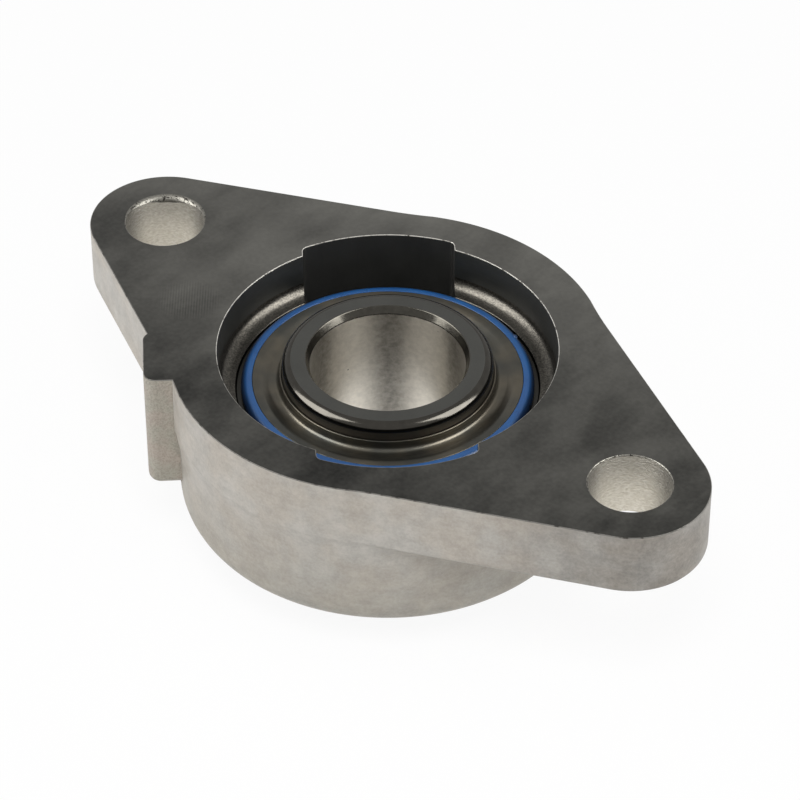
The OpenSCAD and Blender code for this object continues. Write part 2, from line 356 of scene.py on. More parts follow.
def flange_blank():
    """The flange, a little too high, with its front edge rounded."""
    shape = extruded(flange_outline(), -FLANGE_T, OVER)
    return eased(shape, edges_at(shape, -FLANGE_T), FLANGE_ROUND, 4)


def body_blank():
    """The round body, with its draft and rounded front edge, sunk half way into the flange."""
    sunk = -FLANGE_T / 2
    corners = [
        (0, -BODY_DEPTH, 0),
        (BODY_LOW_R, -BODY_DEPTH, BODY_ROUND),
        (BODY_R, HAIR - FLANGE_T, 0),
        (BODY_R, sunk, 0),
        (0, sunk, 0),
    ]
    return turned(rounded(corners, steps=10))


def fillet_blank(level, size, trim):
    """A cast fillet between the body and a flat above it, kept inside another outline."""
    draft = (BODY_R - BODY_LOW_R) / (BODY_DEPTH - FLANGE_T)
    body_r = BODY_R + (level + FLANGE_T) * draft
    low, high = level - 2 * size, level + 3 * OVER
    corners = [
        (body_r - size, low, 0),
        (body_r - 2 * size * draft - HAIR, low, 0),
        (body_r - HAIR, HAIR + level, size),
        (body_r + 2 * size, HAIR + level, 0),
        (body_r + 2 * size, high, 0),
        (body_r - size, high, 0),
    ]
    return joined(turned(rounded(corners, steps=8)), trim, "INTERSECT")


def middle_slope():
    """A slight slope from the body up to the flange where both are nearly as wide."""
    low, high = -FLANGE_T - MIDDLE_SLOPE, -FLANGE_T / 2
    corners = [
        (BODY_LOW_R - OVER, low),
        (BODY_R - MIDDLE_SLOPE_SUNK, low),
        (FLANGE_R - HAIR, FLANGE_ROUND - FLANGE_T),
        (FLANGE_R - HAIR, high),
        (BODY_LOW_R - OVER, high),
    ]
    trim = extruded(flange_outline(HAIR), -BODY_DEPTH, OVER)
    return joined(turned(corners), trim, "INTERSECT")


def flange_fillet():
    """The fillet between the body and the flange, clear of the flange's rounded edge."""
    trim = extruded(flange_outline(1.2 * FLANGE_ROUND), -BODY_DEPTH, OVER)
    return fillet_blank(-FLANGE_T, CAST_FILLET, trim)


def lug_fillet():
    """The fillet under the lug's foot, a little narrower than the lug."""
    half_w = LUG_HALF_W - LUG_FOOT_ROUND
    inner = RECESS_R
    outline = [(inner, -half_w), (LUG_REACH, -half_w), (LUG_REACH, half_w), (inner, half_w)]
    trim = extruded(outline, -BODY_DEPTH, OVER)
    bmesh.ops.rotate(trim, verts=trim.verts, matrix=Matrix.Rotation(LUG_ANGLE, 3, "Z"))
    return fillet_blank(-LUG_DEPTH, LUG_FOOT_FILLET, trim)


def lug_blank():
    """The side lug, a little too high, with its corners and foot rounded."""
    inner = RECESS_R
    outline = rounded(
        [
            (inner, -LUG_HALF_W, 0),
            (LUG_REACH, -LUG_HALF_W, LUG_ROUND),
            (LUG_REACH, LUG_HALF_W, LUG_ROUND),
            (inner, LUG_HALF_W, 0),
        ]
    )
    shape = extruded(outline, -LUG_DEPTH, 2 * OVER)
    foot = [e for e in edges_at(shape, -LUG_DEPTH) if max(v.co.x for v in e.verts) > inner + 1]
    eased(shape, foot, LUG_FOOT_ROUND, 5)
    bmesh.ops.rotate(shape, verts=shape.verts, matrix=Matrix.Rotation(LUG_ANGLE, 3, "Z"))
    return shape


def bore_cutter():
    """The recess, the spherical seat and the front opening in one cut."""
    lean = math.asin(SEAT_HALF_W / SEAT_R)
    seat = arc((0, INSERT_Z), SEAT_R, lean, -lean, 24)
    wall = rounded(
        [
            (0, OVER, 0),
            (RECESS_R, OVER, 0),
            (RECESS_R, -RECESS_DEPTH, RECESS_FILLET),
            (OPENING_R + SEAT_BREAK, -RECESS_DEPTH, 0),
            (OPENING_R, -RECESS_DEPTH - SEAT_BREAK, 0),
        ]
    )
    mouth = [
        (OPENING_R, FRONT_CHAMFER - BODY_DEPTH),
        (OPENING_R + FRONT_CHAMFER, -BODY_DEPTH),
        (OPENING_R + FRONT_CHAMFER, -BODY_DEPTH - OVER),
        (0, -BODY_DEPTH - OVER),
    ]
    return turned([*wall, *seat[1:], *mouth])


def slot_cutter():
    """Both loading slots: straight sides, round ends and rounded corners."""
    corner_v = SLOT_HALF_W - SLOT_ROUND
    corner_u = math.sqrt((SLOT_R - SLOT_ROUND) ** 2 - corner_v**2)
    lean = math.atan2(corner_v, corner_u)
    quarter = math.pi / 2
    end = [
        *arc((corner_u, -corner_v), SLOT_ROUND, -quarter, -lean, 5),
        *arc((0, 0), SLOT_R, -lean, lean, 32)[1:-1],
        *arc((corner_u, corner_v), SLOT_ROUND, lean, quarter, 5),
    ]
    shape = extruded([*end, *[-place for place in end]], INSERT_Z, OVER)
    bmesh.ops.rotate(shape, verts=shape.verts, matrix=Matrix.Rotation(SLOT_ANGLE, 3, "Z"))
    return shape


def bolt_hole_cutter(side):
    """A cast bolt hole with draft, and with small rounded lips at both faces."""
    lip_r, low_lip_r = BOLT_HOLE_R + HOLE_LIP, BOLT_HOLE_LOW_R + HOLE_LOW_LIP
    low_lip_z = HOLE_LOW_LIP - FLANGE_T
    quarter = math.pi / 2
    profile = [
        (0, OVER),
        (lip_r, OVER),
        *arc((lip_r, -HOLE_LIP), HOLE_LIP, quarter, 2 * quarter, 6),
        *arc((low_lip_r, low_lip_z), HOLE_LOW_LIP, 2 * quarter, 3 * quarter, 4),
        (low_lip_r, -FLANGE_T - OVER),
        (0, -FLANGE_T - OVER),
    ]
    shape = turned(profile, HOLE_STEPS)
    bmesh.ops.translate(shape, verts=shape.verts, vec=(side * BOLT_SPACING / 2, 0, 0))
    return shape


def worn_lip_cutter():
    """The worn lip of the left bolt hole, off centre, so that it runs out on one side."""
    profile = [
        (0, OVER),
        (WORN_LIP_R + HAIR, OVER),
        *arc((WORN_LIP_R, -WORN_LIP_DEPTH), WORN_LIP_DEPTH, math.pi / 2, math.pi, 6),
        (0, -WORN_LIP_DEPTH),
    ]
    shape = turned(profile, LIP_STEPS)
    way = Vector((math.cos(WORN_LIP_ANGLE), math.sin(WORN_LIP_ANGLE), 0))
    hole = Vector((-BOLT_SPACING / 2, 0, 0))
    bmesh.ops.translate(shape, verts=shape.verts, vec=hole + way * WORN_LIP_SHIFT)
    return shape


def filleted_lug(shape):
    """Rounds the seam where the lug leaves the body."""
    along = Vector((math.cos(LUG_ANGLE), math.sin(LUG_ANGLE), 0))
    seam = [
        edge
        for edge in shape.edges
        if len(edge.link_faces) == 2
        and not edge.is_convex
        and edge.calc_face_angle() > math.radians(25)
        and all(
            vert.co.z > -LUG_DEPTH + OVER
            and vert.co.dot(along) > BODY_LOW_R - 2
            and (vert.co - vert.co.dot(along) * along).xy.length < LUG_HALF_W + 0.5
            for vert in edge.verts
        )
    ]
    return eased(shape, seam, LUG_FILLET, 3)


def faced_off(shape):
    """Cuts the casting flat at the mounting face."""
    geometry = [*shape.verts, *shape.edges, *shape.faces]
    cut = bmesh.ops.bisect_plane(
        shape,
        geom=geometry,
        dist=SAME_PLANE,
        plane_co=(0, 0, 0),
        plane_no=(0, 0, 1),
        clear_outer=True,
    )
    rim = [item for item in cut["geom_cut"] if isinstance(item, bmesh.types.BMEdge)]
    bmesh.ops.holes_fill(shape, edges=rim)
    return closed_shell(shape)


def broken_edges(shape):
    """Takes the sharpness off the edges round the mounting face."""
    corners = [vert for vert in shape.verts if abs(vert.co.z) < SAME_LEVEL]
    bmesh.ops.remove_doubles(shape, verts=corners, dist=EDGE_BREAK)
    sharp = [
        edge
        for edge in edges_at(shape, 0)
        if len(edge.link_faces) == 2 and edge.calc_face_angle() > SHARP
    ]
    return eased(shape, sharp, EDGE_BREAK, 2)


def on_lug(place, normal):
    """Whether a face of the casting belongs to the side lug."""
    along_lug = Vector((math.cos(LUG_ANGLE), math.sin(LUG_ANGLE)))
    reach = place.xy.dot(along_lug)
    from_middle = (place.xy - reach * along_lug).length
    on_side = abs(from_middle - LUG_HALF_W) < CLOSE and abs(normal.xy.dot(along_lug)) < 0.05
    on_end = reach > BODY_R + 0.3 and from_middle < LUG_HALF_W + NEAR
    outside_body = place.z > -LUG_DEPTH - NEAR and reach > BODY_LOW_R - 2
    return outside_body and (on_side or on_end)


def housing_finish_at(place, normal):
    """Names the finish of a face of the housing, from where it is and where it looks."""
    radius = place.xy.length
    to_hole = min((place.xy - Vector((side * BOLT_SPACING / 2, 0))).length for side in (-1, 1))
    if normal.z > 0.999 and place.z > -EDGE_BREAK / 2:
        return "machined_face"
    if to_hole < WORN_LIP_R + WORN_LIP_SHIFT + CLOSE:
        on_lip = place.z > -WORN_LIP_DEPTH and normal.z > 0.05
        return "worn_lip" if on_lip else "hole_skin"
    if place.z > -EDGE_BREAK - HAIR / 2:
        return "broken_edge"
    if radius < OPENING_R + SEAT_BREAK and abs(place.z + RECESS_DEPTH + SEAT_BREAK / 2) < HAIR:
        return "rough_ledge"
    if radius < SLOT_R + NEAR and place.z > INSERT_Z - NEAR:
        across = abs(place.xy.dot(Vector((-math.sin(SLOT_ANGLE), math.cos(SLOT_ANGLE)))))
        on_slot_side = across > SLOT_HALF_W - HAIR / 2 and place.z < -RECESS_DEPTH
        if radius > RECESS_R + CLOSE or on_slot_side:
            return "slot_wall"
        if place.z > RECESS_FILLET - RECESS_DEPTH and abs(normal.z) < 0.1:
            return "recess_wall"
        if place.z > -RECESS_DEPTH - HAIR / 2:
            return "rough_ledge"
    if radius < SEAT_R + NEAR and place.z > -BODY_DEPTH + FRONT_CHAMFER:
        return "seat_steel"
    return "lug_skin" if on_lug(place, normal) else "cast_skin"


def housing_casting():
    """The casting: its blanks are joined, faced, bored and drilled, and then its edges broken."""
    shape = joined(flange_blank(), body_blank(), "UNION")
    shape = joined(shape, middle_slope(), "UNION")
    shape = joined(shape, flange_fillet(), "UNION")
    shape = joined(shape, lug_blank(), "UNION")
    shape = filleted_lug(shape)
    shape = joined(shape, lug_fillet(), "UNION")
    shape = faced_off(shape)
    shape = joined(shape, bore_cutter(), "DIFFERENCE")
    shape = joined(shape, slot_cutter(), "DIFFERENCE")
    for side in (-1, 1):
        shape = joined(shape, bolt_hole_cutter(side), "DIFFERENCE")
    shape = joined(shape, worn_lip_cutter(), "DIFFERENCE")
    shape = broken_edges(shape)
    finishes = [
        machined_face(),
        hole_skin(),
        broken_edge(),
        recess_wall(),
        slot_wall(),
        rough_ledge(),
        seat_steel(),
        cast_skin(),
        lug_skin(),
        worn_lip(),
    ]
    return finished(
        shape,
        "housing_casting",
        "housing",
        ["housing"],
        finishes,
        housing_finish_at,
    )


# Insert


def ring_finish_at(place, normal):
    """Names the finish of a face of the inner ring."""
    radius = place.xy.length
    back, front = INSERT_Z + RING_BACK, INSERT_Z - RING_FRONT
    if radius < BORE_R + HAIR:
        return "ring_bore"
    at_end = place.z > back - HAIR / 2 or place.z < front + HAIR / 2
    if at_end and abs(normal.z) > 0.99:
        return "ring_face"
    if radius < BORE_R + BORE_MOUTH + NEAR:
        return "bore_mouth"
    if radius > RING_R - RING_ROUND - HAIR / 2 and place.z > back - RING_ROUND:
        return "ring_edge"
    return "ring_outside"


def screw_hole_cutter(angle):
    """A set-screw hole through the ring's wall, with a small countersink outside."""
    profile = [
        (0, BORE_R - OVER),
        (SCREW_HOLE_R, BORE_R - OVER),
        (SCREW_HOLE_R, RING_R - SCREW_HOLE_SINK),
        (SCREW_HOLE_R + SCREW_HOLE_SINK + OVER, RING_R + OVER),
        (0, RING_R + OVER),
    ]
    shape = turned(profile, SCREW_HOLE_STEPS)
    turn = Matrix.Rotation(angle, 4, "Z") @ Matrix.Rotation(math.pi / 2, 4, "Y")
    place = Matrix.Translation((0, 0, SCREW_Z)) @ turn
    bmesh.ops.transform(shape, verts=shape.verts, matrix=place)
    return shape


def inner_ring():
    """The inner ring, with rounded edges, its ball race and the two set-screw holes."""
    back, front = INSERT_Z + RING_BACK, INSERT_Z - RING_FRONT
    race_start = math.pi / 2 + math.asin((PITCH_R - RING_R) / RACE_R)
    race = arc((PITCH_R, INSERT_Z), RACE_R, race_start, math.tau - race_start, 20)
    outline = rounded(
        [
            (BORE_R, back - BORE_LEAD, BORE_LEAD_ROUND),
            (BORE_R + BORE_MOUTH, back, BORE_MOUTH_ROUND),
            (RING_R, back, RING_ROUND),
            *[(radius, height, 0) for radius, height in race],
            (RING_R, front, RING_ROUND),
            (BORE_R + FRONT_LEAD, front, FRONT_LEAD_ROUND),
            (BORE_R, front + FRONT_LEAD, FRONT_LEAD_ROUND),
        ],
        steps=8,
    )
    shape = turned(outline)
    for angle in SCREW_ANGLES:
        shape = joined(shape, screw_hole_cutter(angle), "DIFFERENCE")
    finishes = [ring_face(), ring_edge(), ring_bore(), ring_outside(), bore_mouth()]
    return finished(
        shape,
        "inner_ring_turned",
        "inner_ring",
        ["inner_ring"],
        finishes,
        ring_finish_at,
    )


def in_insert(outline, front):
    """Moves an outline from the insert's centre to its place; the front side is mirrored."""
    side = -1 if front else 1
    return [(radius, INSERT_Z + side * height) for radius, height in outline]


def flinger(name, front, finish):
    """The dished steel disc, bent from thin sheet, with its collar on the inner ring."""
    outline = rounded(
        [
            (COLLAR_R, COLLAR_TOP, COLLAR_ROUND),
            (COLLAR_R, DISH_OUT, DISH_ROUND),
            (DISH_R, DISH_OUT, SLOPE_BEND),
            (SLOPE_R, DISC_OUT, SLOPE_BEND),
            (DISC_R, DISC_OUT, DISC_ROUND),
            (DISC_R, DISC_OUT - DISC_T, DISC_ROUND),
            (SLOPE_R, DISC_OUT - DISC_T, SLOPE_BEND_INSIDE),
            (DISH_R, DISH_OUT - DISC_T, SLOPE_BEND_INSIDE),
            (HUB_R, DISH_OUT - DISC_T, HUB_ROUND),
            (HUB_R, COLLAR_TOP, HUB_TOP_ROUND),
        ]
    )
    shape = turned(in_insert(outline, front))
    return finished(shape, name + "_disc", "inner_ring", [name], [finish])


def flinger_rim(name, front, finish):
    """The domed rubber rim round the flinger, with the small nub left by its mould."""
    outline = rounded(
        [
            (RIM_BOND_R, DISC_OUT, RIM_BOND_ROUND),
            (RIM_R, DISC_OUT, RIM_DOME),
            (RIM_R, RIM_LOW, RIM_LIP_ROUND),
            (RIM_R - RIM_LIP_W, RIM_LOW, RIM_LIP_ROUND),
            (RIM_R - 2 * RIM_LIP_W, RIM_ROOT, RIM_ROOT_ROUND),
            (RIM_BOND_R, RIM_ROOT, 0),
        ]
    )
    shape = turned(in_insert(outline, front))
    side = -1 if front else 1
    nub = Vector((RIM_R - NUB_INSET, 0, INSERT_Z + side * (DISC_OUT - NUB_SUNK)))
    place = Matrix.Rotation(NUB_ANGLE, 4, "Z") @ Matrix.Translation(nub)
    bmesh.ops.create_icosphere(
        shape, subdivisions=3, radius=NUB_R, matrix=place @ Matrix.Diagonal(NUB_SHAPE)
    )
    return finished(
        shape, name + "_moulded", "inner_ring", [name], [finish], crease=RIM_SHARP
    )


# Shader maths


class Socket:
    """One output of a shader node; Python's operators on it add Math nodes."""

    def __init__(self, nodes, output):
        self.nodes = nodes
        self.output = output

    def __add__(self, other):
        return self.nodes.math("ADD", self, other)

    __radd__ = __add__

    def __sub__(self, other):
        return self.nodes.math("SUBTRACT", self, other)

    def __rsub__(self, other):
        return self.nodes.math("SUBTRACT", other, self)

    def __mul__(self, other):
        return self.nodes.math("MULTIPLY", self, other)

    __rmul__ = __mul__


class Nodes:
    """Adds shader nodes to one node tree."""

    def __init__(self, tree):
        self.tree = tree
        tree.nodes.clear()

    def node(self, kind, settings=(), inputs=(), output=0):
        """Adds a node: its settings come first, then the values and links of its inputs.

        It returns one of the node's outputs, where it has any.
        """
        made = self.tree.nodes.new(kind)
        for name, value in dict(settings).items():
            setattr(made, name, value)
        for key, value in dict(inputs).items():
            if isinstance(value, Socket):
                self.tree.links.new(value.output, made.inputs[key])
            else:
                made.inputs[key].default_value = value
        return Socket(self, made.outputs[output]) if made.outputs else None

    def math(self, operation, first, second=0.0):
        """Adds a Math node; some operations use only the first value."""
        return self.node("ShaderNodeMath", {"operation": operation}, {0: first, 1: second})


class Finish(Nodes):
    """A material under construction, with its patterns in millimetres on the object."""

    def __init__(self, name, metallic, roughness, **constants):
        self.material = bpy.data.materials.new(name)
        self.material.use_nodes = True
        super().__init__(self.material.node_tree)
        surface = self.node("ShaderNodeBsdfPrincipled")
        self.shader = surface.output.node
        self.node("ShaderNodeOutputMaterial", {}, {"Surface": surface})
        self.place = self.scaled(self.node("ShaderNodeTexCoord", {}, {}, "Object"), 1 / MM)
        self.feed(Metallic=metallic, Roughness=roughness, **constants)

    def feed(self, **sockets):
        """Sets or links the shader's own sockets; Base_Color stands for Base Color."""
        for name, value in sockets.items():
            socket = self.shader.inputs[name.replace("_", " ")]
            if isinstance(value, Socket):
                self.tree.links.new(value.output, socket)
            else:
                socket.default_value = value

    def scaled(self, vector, amount):
        """A colour or vector times a number."""
        if not isinstance(vector, Socket):
            vector = vector[:3]
        return self.vector("SCALE", {0: vector, "Scale": amount})

    def vector(self, operation, inputs, output=0):
        """Adds a Vector Math node."""
        return self.node("ShaderNodeVectorMath", {"operation": operation}, inputs, output)

    def stretched(self, stretch):
        """The place on the object, stretched along each axis."""
        return self.vector("MULTIPLY", {0: self.place, 1: stretch})

    def along(self, way):
        """How far a place lies from the shaft axis in one direction, in millimetres."""
        return self.vector("DOT_PRODUCT", {0: self.place, 1: way}, "Value")

    def noise(self, size, detail=3.0, roughness=0.5, stretch=(1, 1, 1), shift=0.0):
        """Cloudy noise from 0 to 1, with features of about a size in millimetres."""
        return self.node(
            "ShaderNodeTexNoise",
            {"noise_dimensions": "4D"},
            {
                "Vector": self.stretched(stretch),
                "W": shift,
                "Scale": 1 / size,
                "Detail": detail,
                "Roughness": roughness,
            },
        )

    def pits(self, spacing, size, share):
        """Small round spots: 1 inside a spot, and only a share of the cells has one."""
        settings = {"voronoi_dimensions": "3D"}
        inputs = {"Vector": self.place, "Scale": 1 / spacing}
        distance = self.node("ShaderNodeTexVoronoi", settings, inputs, "Distance")
        cell = self.node("ShaderNodeTexVoronoi", settings, inputs, "Color")
        kept = self.ramp(cell, 1 - share, 1 - share + 0.02)
        return kept * (1 - self.ramp(distance, 0.6 * size / spacing, size / spacing))

    def ramp(self, value, low, high):
        """A smooth step from 0 at low to 1 at high."""
        return self.node(
            "ShaderNodeMapRange",
            {"interpolation_type": "SMOOTHSTEP"},
            {"Value": value, "From Min": low, "From Max": high},
        )

    def mix(self, amount, first, second):
        """One colour at 0 and another at 1."""
        return self.node(
            "ShaderNodeMix", {"data_type": "RGBA"}, {0: amount, 6: first, 7: second}, 2
        )

    def axes(self):
        """The place on the object as three numbers, in millimetres."""
        return [self.node("ShaderNodeSeparateXYZ", {}, {0: self.place}, axis) for axis in "XYZ"]

    def radius(self):
        """The distance from the shaft axis."""
        return self.vector("LENGTH", {0: self.stretched((1, 1, 0))}, "Value")

    def angle(self):
        """The angle round the shaft axis, in radians."""
        x, y, _ = self.axes()
        return self.math("ARCTAN2", y, x)

    def bump(self, height, depth):
        """Dents and grain in the surface, with their depth in millimetres."""
        relief = self.node("ShaderNodeBump", {}, {"Height": height, "Distance": depth * MM})
        self.feed(Normal=relief)


def srgb(red, green, blue):
    """A colour from its eight-bit screen values."""
    linear = [
        level / 12.92 if level <= 0.04045 else ((level + 0.055) / 1.055) ** 2.4
        for level in (red / 255, green / 255, blue / 255)
    ]
    return (*linear, 1.0)


# Housing finishes


# A small patch of chatter marks on the mounting face: its middle, and radians a millimetre
CHATTER_PLACE = (-31.9, -12.3, 0)
CHATTER_RATE = 14.5


def machined_face():
    """The finely milled mounting face, clouded and rubbed; its dark tone is a painted dark
    reflection.
    """
    finish = Finish("machined_face", 0.9, 0.42)
    x, y, _ = finish.axes()
    clouds = finish.noise(20, detail=4, roughness=0.55)
    rubs = finish.noise(6, detail=4, roughness=0.5, stretch=(0.9, 0.5, 1), shift=2)
    grain = finish.noise(0.8, detail=3)
    to_chatter = finish.vector("DISTANCE", {0: finish.place, 1: CHATTER_PLACE}, "Value")
    waves = finish.math("SINE", finish.along(ACROSS_SLOT) * CHATTER_RATE)
    chatter = waves * (1 - finish.ramp(to_chatter, 2.5, 6))
    level = (
        0.43
        + finish.ramp(clouds, 0.38, 0.62) * 0.24
        + finish.ramp(rubs, 0.34, 0.66) * 0.3
        + finish.ramp(grain, 0.3, 0.7) * 0.12
        # Painted reflection: brighter towards the back and the left, and darker at the left ear's
        # end
        + y * 0.01
        - x * 0.003
        - finish.ramp(x, -34, -60) * 0.14
        + chatter * 0.12
    )
    clean = finish.scaled(srgb(80, 79, 75), level)
    pits = finish.pits(9, 0.35, 0.25)
    finish.feed(Base_Color=finish.mix(pits * 0.6, clean, srgb(30, 29, 27)))
    finish.feed(Roughness=0.31 + rubs * 0.12)
    finish.bump(grain + chatter * 0.5, 0.01)
    return finish.material


def cast_skin():
    """The blasted cast sides, faintly blotched and darker to the front, with painted shade at the
    right ear.
    """
    finish = Finish("cast_skin", 0.35, 0.5)
    x, _, z = finish.axes()
    blotches = finish.noise(3, detail=6, roughness=0.62)
    tint = finish.noise(7, detail=3, shift=5)
    streaks = finish.noise(1.4, detail=4, stretch=(0.5, 0.5, 1.4), shift=9)
    grain = finish.noise(0.5, detail=3, roughness=0.65)
    depth = finish.ramp(z, -9, -31)
    clean = finish.mix(finish.ramp(tint, 0.35, 0.65), srgb(182, 178, 171), srgb(179, 172, 162))
    colour = finish.mix(depth * 0.5, clean, srgb(148, 144, 132))
    level = (
        0.72
        + finish.ramp(blotches, 0.3, 0.7) * 0.16
        + finish.ramp(streaks, 0.35, 0.65) * 0.06
        + finish.ramp(grain, 0.3, 0.7) * 0.12
        # Painted shade: the right ear is darkened
        - finish.ramp(x, 28, 60) * 0.32
    )
    finish.feed(Base_Color=finish.scaled(colour, level))
    finish.feed(Roughness=0.44 + blotches * 0.14)
    finish.bump(grain + blotches * 0.6, 0.06)
    return finish.material


def lug_skin():
    """The sandier, pitted skin of the side lug."""
    finish = Finish("lug_skin", 0.3, 0.55)
    sand = finish.noise(0.34, detail=3, roughness=0.6)
    stains = finish.noise(4, detail=3, shift=4)
    colour = finish.mix(finish.ramp(stains, 0.35, 0.65), srgb(158, 154, 142), srgb(164, 154, 143))
    grains = finish.ramp(sand, 0.34, 0.62)
    finish.feed(Base_Color=finish.scaled(colour, 0.78 + grains * 0.26))
    finish.bump(sand, 0.16)
    return finish.material


def hole_skin():
    """The as-cast wall of the bolt holes, like orange peel, with painted shade down either side
    and under the top face.
    """
    finish = Finish("hole_skin", 0.1, 0.45)
    x, _, z = finish.axes()
    hole_x = finish.math("SIGN", x) * (BOLT_SPACING / 2)
    across = finish.along(ACROSS_SLOT) - hole_x * ACROSS_SLOT[0]
    peel = finish.noise(0.42, detail=3, stretch=(0.7, 0.7, 1.6))
    peeled = finish.ramp(peel, 0.34, 0.66)
    colour = finish.mix(peeled, srgb(206, 199, 184), srgb(220, 215, 203))
    # Painted shade: darker towards both sides across the hole and towards its top
    shade = (1 - finish.ramp(across * across, 8, 40) * 0.6) * (
        0.52 + finish.ramp(z, -0.4, -8) * 0.48
    )
    finish.feed(Base_Color=finish.scaled(colour, shade + peeled * 0.08))
    finish.bump(peel, 0.24)
    return finish.material


def worn_lip():
    """The worn, bare lips of the bolt holes."""
    finish = Finish("worn_lip", 0.85, 0.36)
    grains = finish.noise(0.35, detail=3, roughness=0.6)
    chips = finish.ramp(finish.noise(0.5, detail=3, shift=7), 0.53, 0.63)
    colour = finish.mix(chips, srgb(98, 96, 90), srgb(34, 32, 28))
    finish.feed(Base_Color=finish.scaled(colour, 0.5 + grains * 1.0))
    finish.bump(grains - chips * 0.4, 0.08)
    return finish.material


def broken_edge():
    """The thin line where the machined face ends, with bright nicks all round and a painted
    highlight round the back of the recess.
    """
    finish = Finish("broken_edge", 0.85, 0.3)
    nicks = finish.noise(1.6, detail=4, roughness=0.6)
    round_recess = 1 - finish.ramp(finish.radius(), SLOT_R + 0.2, SLOT_R + 1.2)
    # Painted highlight: the bright nicks are strongest round the back of the recess
    painted_highlight_side = finish.ramp(finish.along(TO_BACK_SLOT), -14, 4)
    bright = finish.ramp(nicks, 0.34, 0.5) * (0.2 + round_recess * painted_highlight_side * 0.6)
    finish.feed(Base_Color=finish.mix(bright, srgb(60, 58, 54), srgb(222, 219, 211)))
    finish.bump(nicks, 0.04)
    return finish.material


def recess_wall():
    """The bored wall of the recess, painted nearly black as shade inside the recess."""
    finish = Finish("recess_wall", 0.6, 0.36)
    rings = finish.noise(0.5, detail=3, stretch=(0.1, 0.1, 1.6))
    stains = finish.noise(6, detail=4, shift=4)
    finish.feed(Base_Color=finish.scaled(srgb(54, 55, 53), 0.5 + rings * 0.3 + stains * 0.6))
    finish.bump(rings, 0.01)
    return finish.material


def slot_wall():
    """The wall of the loading slots, painted dark as shade inside the slots."""
    finish = Finish("slot_wall", 0.5, 0.4)
    stains = finish.noise(5, detail=4, shift=6)
    scores = finish.noise(0.7, detail=3, stretch=(1, 1, 0.12))
    finish.feed(Base_Color=finish.scaled(srgb(50, 50, 48), 0.55 + stains * 0.7 + scores * 0.2))
    finish.bump(scores, 0.015)
    return finish.material


def rough_ledge():
    """The fine-grained cast fillet and ledge round the seat, painted dark as shade inside the
    recess.
    """
    finish = Finish("rough_ledge", 0.85, 0.3)
    grains = finish.noise(0.28, detail=3, roughness=0.6)
    stains = finish.noise(4, detail=3, shift=8)
    colour = finish.mix(finish.ramp(grains, 0.36, 0.66), srgb(44, 42, 38), srgb(75, 72, 66))
    finish.feed(Base_Color=finish.scaled(colour, 0.7 + stains * 0.6))
    finish.feed(Roughness=0.26 + grains * 0.08)
    finish.bump(grains, 0.016)
    return finish.material


def seat_steel():
    """The ground spherical seat and the front opening."""
    finish = Finish("seat_steel", 0.9, 0.28)
    rings = finish.noise(0.5, detail=3, stretch=(0.08, 0.08, 1.5))
    finish.feed(Base_Color=finish.scaled(srgb(134, 131, 124), 0.75 + rings * 0.5))
    finish.bump(rings, 0.006)
    return finish.material


# Insert finishes

# Painted reflection: soft light and dark bands round the bore, and the angle at which the first
# one starts to brighten
BORE_BANDS = 6
FIRST_BAND = math.radians(145)


def ring_face():
    """The flat ends of the inner ring, finely ground."""
    finish = Finish("ring_face", 0.9, 0.34)
    grind = finish.noise(0.35, detail=4)
    clouds = finish.noise(6, detail=3, shift=1)
    finish.feed(Base_Color=finish.scaled(srgb(64, 64, 61), 0.72 + grind * 0.2 + clouds * 0.4))
    finish.bump(grind, 0.006)
    return finish.material


def ring_edge():
    """The polished rounded edges of the inner ring; their dark base colour is a painted dark
    reflection.
    """
    finish = Finish("ring_edge", 0.95, 0.15)
    marks = finish.noise(1.2, detail=5, roughness=0.65)
    finish.feed(Base_Color=finish.scaled(srgb(56, 54, 50), 0.6 + marks * 0.8))
    finish.feed(Roughness=0.1 + marks * 0.1)
    finish.bump(marks, 0.01)
    return finish.material


def bore_mouth():
    """The ground lead into the bore, duller than the ring's other edges; its dark base colour is a
    painted dark reflection.
    """
    finish = Finish("bore_mouth", 0.95, 0.2)
    marks = finish.noise(0.8, detail=4, roughness=0.6)
    finish.feed(Base_Color=finish.scaled(srgb(62, 60, 55), 0.5 + marks * 1.0))
    finish.feed(Roughness=0.12 + marks * 0.14)
    finish.bump(marks, 0.015)
    return finish.material


def ring_bore():
    """The honed bore: mottled, with small pits, and with painted light and painted reflection
    bands on its side towards the back slot.
    """
    finish = Finish("ring_bore", 0.85, 0.3)
    rings = finish.noise(0.3, detail=3, stretch=(0.2, 0.2, 1.0))
    mottles = finish.noise(0.9, detail=6, roughness=0.65, shift=3)
    bands = finish.math("SINE", (finish.angle() - FIRST_BAND) * BORE_BANDS)
    painted_light_side = finish.ramp(finish.along(TO_BACK_SLOT), 5.5, 9.5)
    pits = finish.pits(1.3, 0.2, 0.3)
    # Painted light: the side towards the back slot is brightened and carries the painted
    # reflection bands
    level = (
        0.26
        + rings * 0.12
        + finish.ramp(mottles, 0.3, 0.7) * 0.26
        + painted_light_side * (0.62 + bands * 0.58)
    )
    clean = finish.scaled(srgb(190, 185, 175), level)
    finish.feed(Base_Color=finish.mix(pits * 0.7, clean, srgb(60, 56, 51)))
    finish.feed(Roughness=0.26 + mottles * 0.12)
    finish.bump(mottles - pits, 0.012)
    return finish.material


